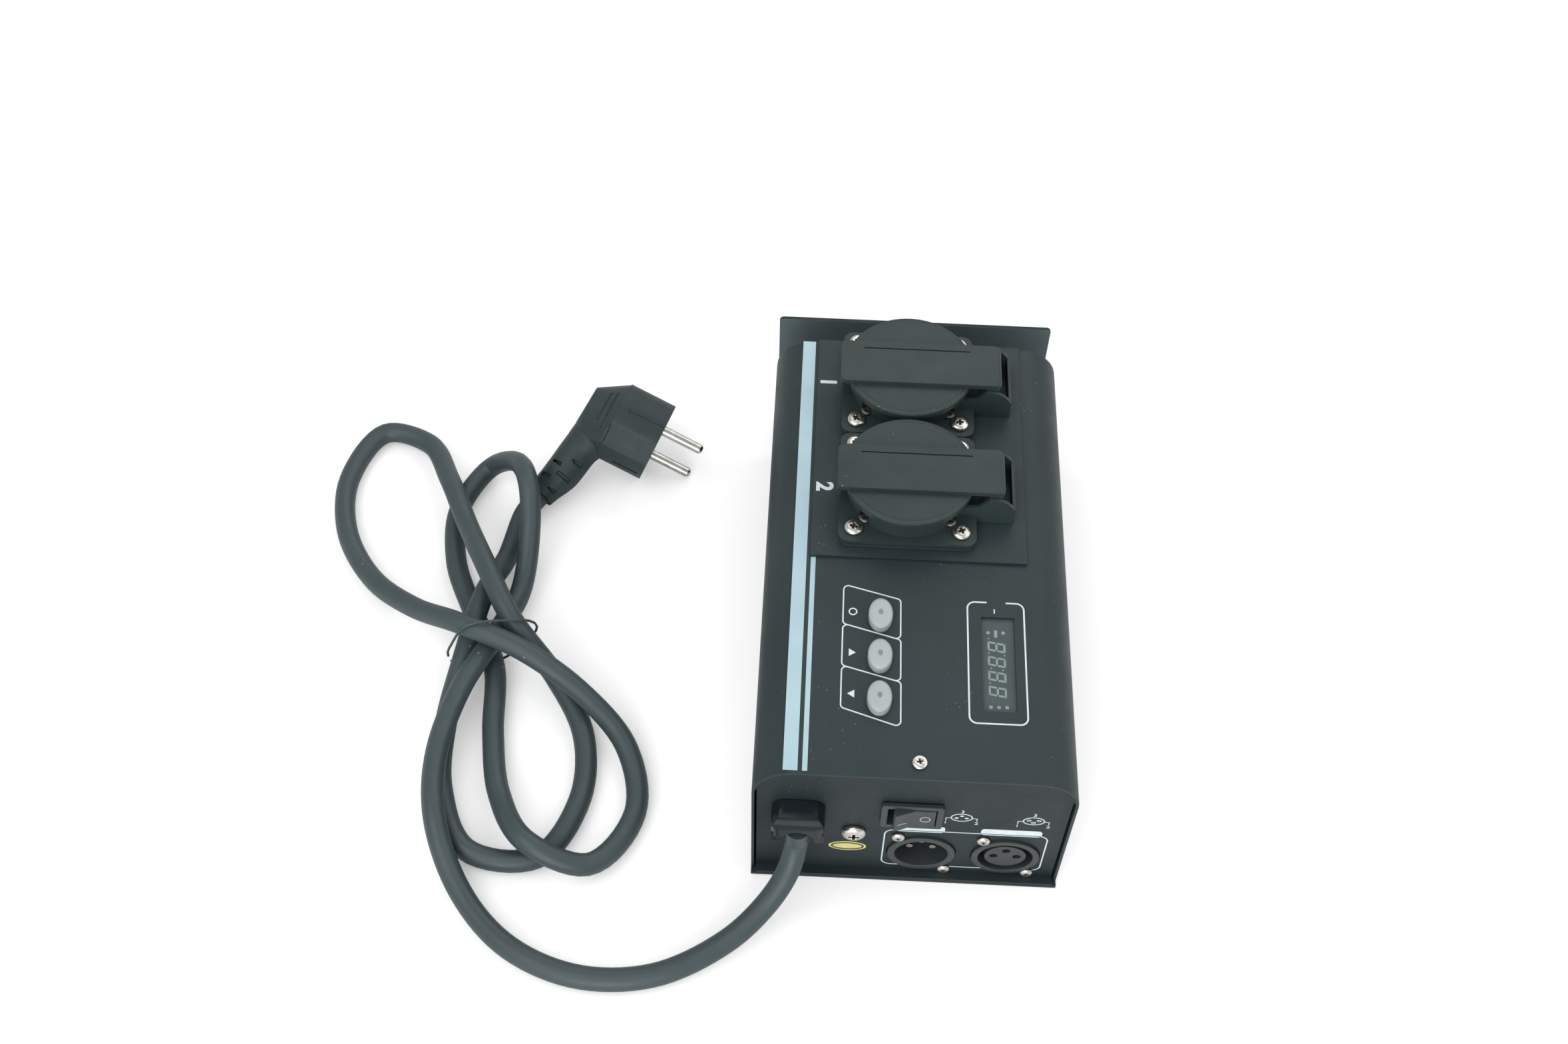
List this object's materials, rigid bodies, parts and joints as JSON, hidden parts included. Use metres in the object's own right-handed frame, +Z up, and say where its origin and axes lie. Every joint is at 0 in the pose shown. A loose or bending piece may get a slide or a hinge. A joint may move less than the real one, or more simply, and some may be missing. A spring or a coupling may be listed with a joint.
{
  "type": "dimmer pack",
  "caption": "Stage lighting dimmer in a sheet-steel box with lidded earthed sockets, push buttons, a display, a control input and output, a rocker switch and a mains lead with a plug.",
  "frame": {"origin": "centre of the base plate's underside, which the pack stands on", "axes": "+Z up through the sockets, -Y out of the front panel with the switch and connectors, +X to the right seen from the front"},
  "size_m": [0.285, 0.2623, 0.0891],
  "materials": {
    "case_paint": "satin black powder coat",
    "socket_plastic": "fine matte black",
    "panel_plastic": "satin black",
    "contact_metal": "nickel plate",
    "spring_steel": "bright wire",
    "screw_steel": "nickel plate",
    "button_plastic": "soft grey",
    "display": "smoked grey window",
    "board": "green board",
    "cord_rubber": "matte black",
    "aluminium": "mill finish",
    "package_plastic": "moulded",
    "ferrite": "varnished",
    "terminal_plastic": "moulded"
  },
  "bodies": {
    "casing": {"base_plate": "case_paint", "cover": "case_paint", "front_panel": "case_paint", "rear_panel": "case_paint", "socket_plate": "case_paint", "socket_1_body": "socket_plastic", "socket_1_insert": "socket_plastic", "socket_1_earth_clip": "contact_metal", "socket_1_lid_pin": "contact_metal", "socket_1_lid_spring": "spring_steel", "socket_1_flange_screw_1": "screw_steel", "socket_1_flange_screw_2": "screw_steel", "socket_1_flange_screw_3": "screw_steel", "socket_1_flange_screw_4": "screw_steel", "socket_1_clamp_screw_1": "screw_steel", "socket_1_clamp_screw_2": "screw_steel", "socket_2_body": "socket_plastic", "socket_2_insert": "socket_plastic", "socket_2_earth_clip": "contact_metal", "socket_2_lid_pin": "contact_metal", "socket_2_lid_spring": "spring_steel", "socket_2_flange_screw_1": "screw_steel", "socket_2_flange_screw_2": "screw_steel", "socket_2_flange_screw_3": "screw_steel", "socket_2_flange_screw_4": "screw_steel", "socket_2_clamp_screw_1": "screw_steel", "socket_2_clamp_screw_2": "screw_steel", "control_board": "board", "main_board": "board", "display_module": "display", "cover_screw": "screw_steel", "earth_screw": "screw_steel", "input_screw_1": "screw_steel", "input_screw_2": "screw_steel", "output_screw_1": "screw_steel", "output_screw_2": "screw_steel", "rocker_body": "panel_plastic", "input_shell": "panel_plastic", "output_shell": "panel_plastic", "output_insert": "panel_plastic", "cord_gland": "panel_plastic", "input_insert": "contact_metal", "plug_pin_1": "contact_metal", "plug_pin_2": "contact_metal", "power_cord": "cord_rubber", "plug_body": "cord_rubber", "cord_tie": "cord_rubber", "heat_sink": "aluminium", "power_switch_1": "package_plastic", "power_switch_2": "package_plastic", "choke_1": "ferrite", "choke_2": "ferrite", "transformer": "ferrite", "terminal_block": "terminal_plastic"},
    "lid_1": {"socket_1_lid": "socket_plastic"},
    "lid_2": {"socket_2_lid": "socket_plastic"},
    "key_1": {"button_1": "button_plastic"},
    "key_2": {"button_2": "button_plastic"},
    "key_3": {"button_3": "button_plastic"},
    "rocker": {"rocker": "panel_plastic"}
  },
  "joints": [
    {"name": "lid_1_hinge", "type": "hinge", "parent": "casing", "child": "lid_1", "pos_m": [0.0256, 0.05865, 0.0824], "axis": [0, 1, 0], "range_deg": [0, 105], "stiffness_Nm_per_rad": 0.02, "springref_deg": -57.3},
    {"name": "lid_2_hinge", "type": "hinge", "parent": "casing", "child": "lid_2", "pos_m": [0.0256, 0.00935, 0.0824], "axis": [0, 1, 0], "range_deg": [0, 105], "stiffness_Nm_per_rad": 0.02, "springref_deg": -57.3},
    {"name": "key_1_press", "type": "slide", "parent": "casing", "child": "key_1", "axis": [0, 0, -1], "range_m": [0, 0.0005], "stiffness_N_per_m": 300, "springref_m": -0.0005},
    {"name": "key_2_press", "type": "slide", "parent": "casing", "child": "key_2", "axis": [0, 0, -1], "range_m": [0, 0.0005], "stiffness_N_per_m": 300, "springref_m": -0.0005},
    {"name": "key_3_press", "type": "slide", "parent": "casing", "child": "key_3", "axis": [0, 0, -1], "range_m": [0, 0.0005], "stiffness_N_per_m": 300, "springref_m": -0.0005},
    {"name": "rocker_tip", "type": "hinge", "parent": "casing", "child": "rocker", "pos_m": [-0.0001, -0.10175, 0.046], "axis": [0, 0, -1], "range_deg": [0, 20]}
  ]
}
